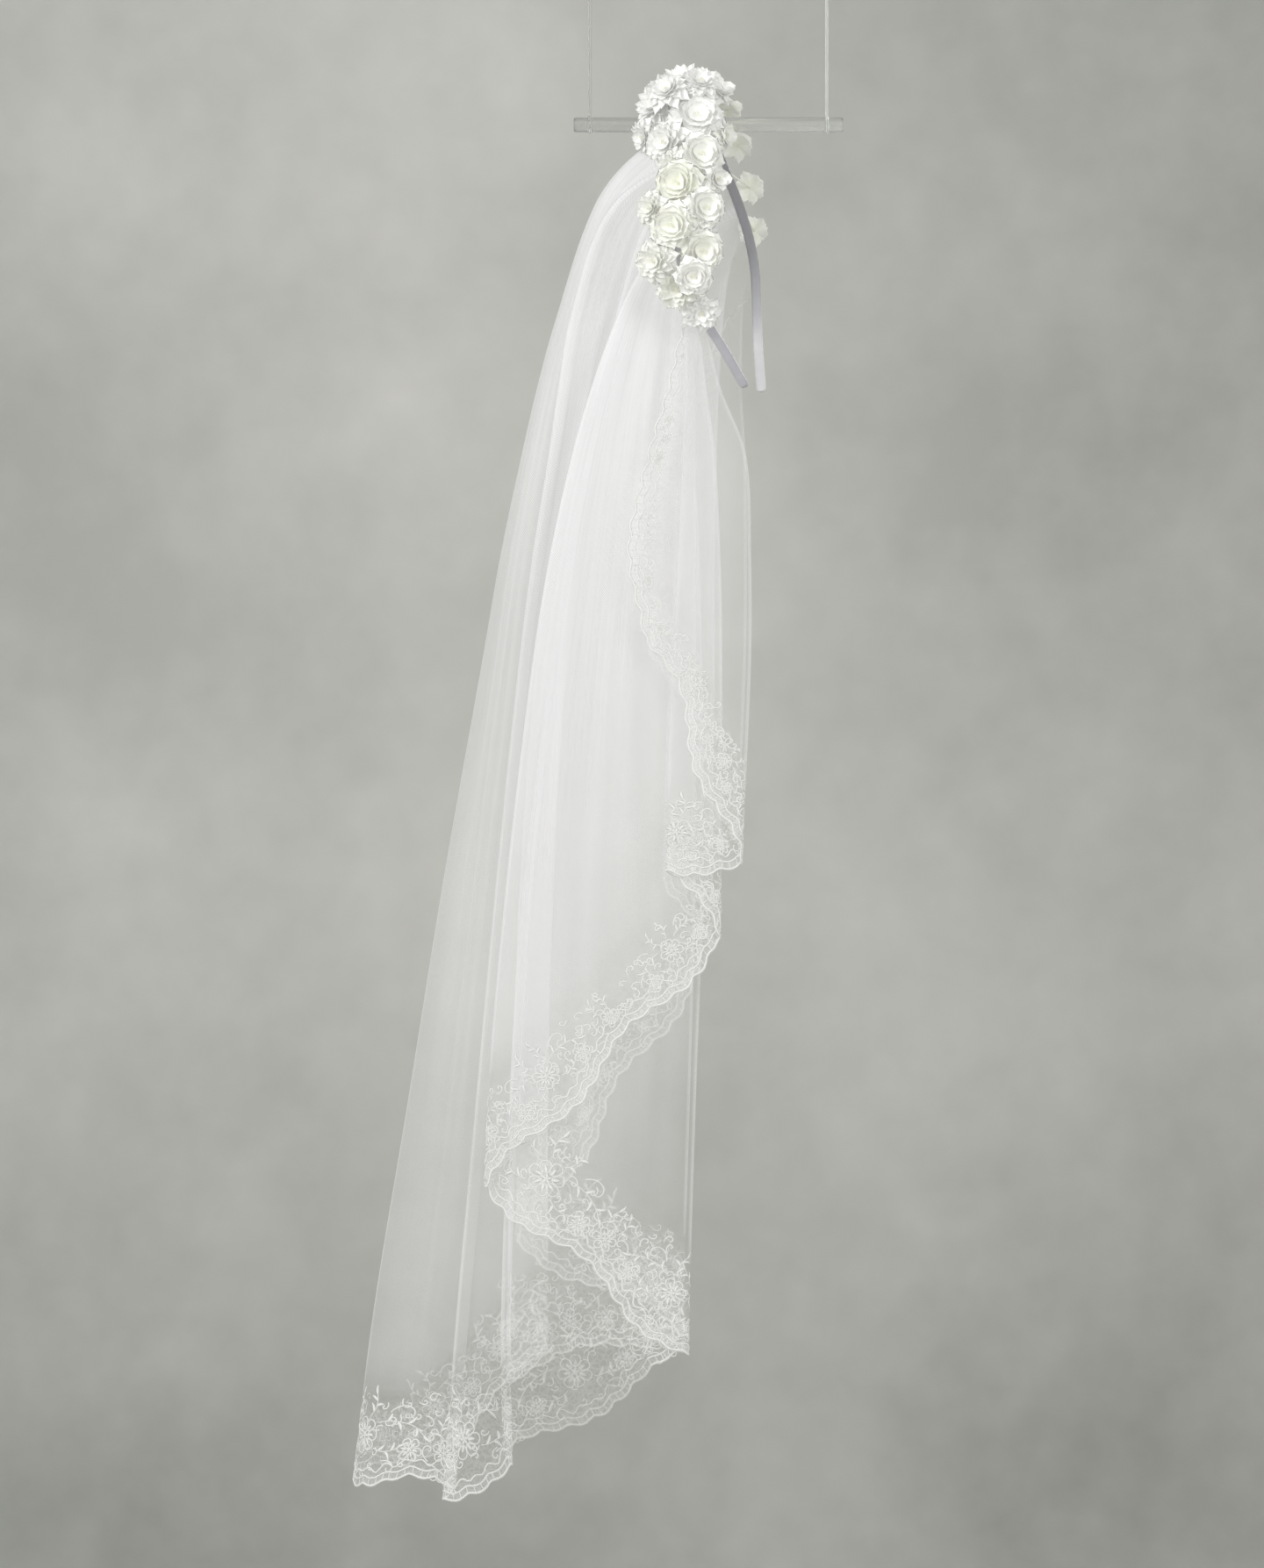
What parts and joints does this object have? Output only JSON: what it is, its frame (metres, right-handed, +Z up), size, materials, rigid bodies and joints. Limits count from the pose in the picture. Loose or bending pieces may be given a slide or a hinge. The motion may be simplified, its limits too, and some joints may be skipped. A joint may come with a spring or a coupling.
{
  "type": "bridal veil on a flowered headband, hung from a clear rod",
  "caption": "Child's cascade veil: gathered tulle with a scalloped lace edging on a flowered satin headband, hung in folds from a clear rod on clear lines",
  "frame": {"origin": "the hanging point, midway between the tops of the two clear lines that carry the rod", "axes": "+X to the viewer's right along the rod, +Y away from the viewer, +Z up"},
  "size_m": [0.2519, 0.1516, 0.7733],
  "materials": {
    "tulle": "sheer white tulle net",
    "lace": "white corded lace on net",
    "satin": "grey satin ribbon wound round a slim band",
    "petal": "white cloth petals tinted yellow-green at the middle",
    "clear": "clear acrylic and clear line"
  },
  "bodies": {
    "root": {"hanger_rod": "clear", "hanger_line_left": "clear", "hanger_line_right": "clear", "headband": "satin", "tulle_near": "tulle", "lace_near_hem": "lace", "tulle_back": "tulle", "lace_back_hem": "lace", "tulle_far": "tulle", "lace_far_hem": "lace", "lace_near_edge": "lace", "lace_far_edge": "lace", "flower_01": "petal", "flower_02": "petal", "flower_03": "petal", "flower_04": "petal", "flower_05": "petal", "flower_06": "petal", "flower_07": "petal", "flower_08": "petal", "flower_09": "petal", "flower_10": "petal", "flower_11": "petal", "flower_12": "petal", "flower_13": "petal", "flower_14": "petal", "flower_15": "petal", "flower_16": "petal", "flower_17": "petal", "flower_18": "petal", "flower_19": "petal", "flower_20": "petal", "flower_21": "petal", "flower_22": "petal", "flower_23": "petal", "flower_24": "petal", "flower_25": "petal", "flower_26": "petal"}
  },
  "joints": []
}
